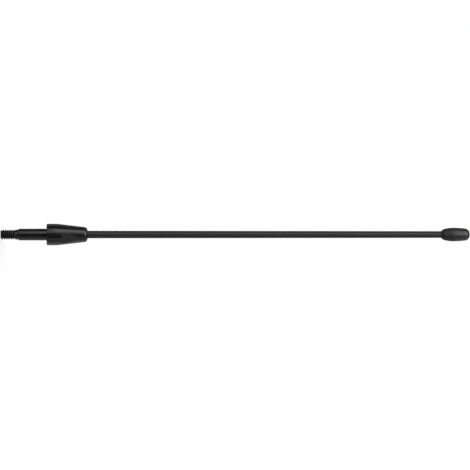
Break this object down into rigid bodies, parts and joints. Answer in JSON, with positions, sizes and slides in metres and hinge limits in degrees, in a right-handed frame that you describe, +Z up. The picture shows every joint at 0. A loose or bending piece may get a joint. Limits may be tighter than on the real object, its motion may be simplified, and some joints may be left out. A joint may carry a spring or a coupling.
{
  "type": "car mast aerial",
  "caption": "Slim black car mast aerial: threaded stud with smooth shank, tapered collar with spanner flats, jacketed whip and olive tip.",
  "frame": {"origin": "on the mast's axis, in the plane of the collar's underside, which seats on the car's aerial base", "axes": "+Z up along the mast to its tip; the stud points down -Z; the spanner flats face +Y and -Y"},
  "size_m": [0.0104, 0.0104, 0.2285],
  "materials": {
    "stud_black_plating": "black plated steel, semi-gloss",
    "collar_black_moulding": "black moulded plastic, semi-gloss",
    "jacket_black_satin": "black extruded jacket, satin",
    "core_steel": "drawn spring steel",
    "tip_black_rubber": "black moulded rubber, satin"
  },
  "bodies": {
    "root": {"threaded_stud": "stud_black_plating", "base_collar": "collar_black_moulding", "mast_jacket": "jacket_black_satin", "whip_core": "core_steel", "tip_cap": "tip_black_rubber"}
  },
  "joints": []
}
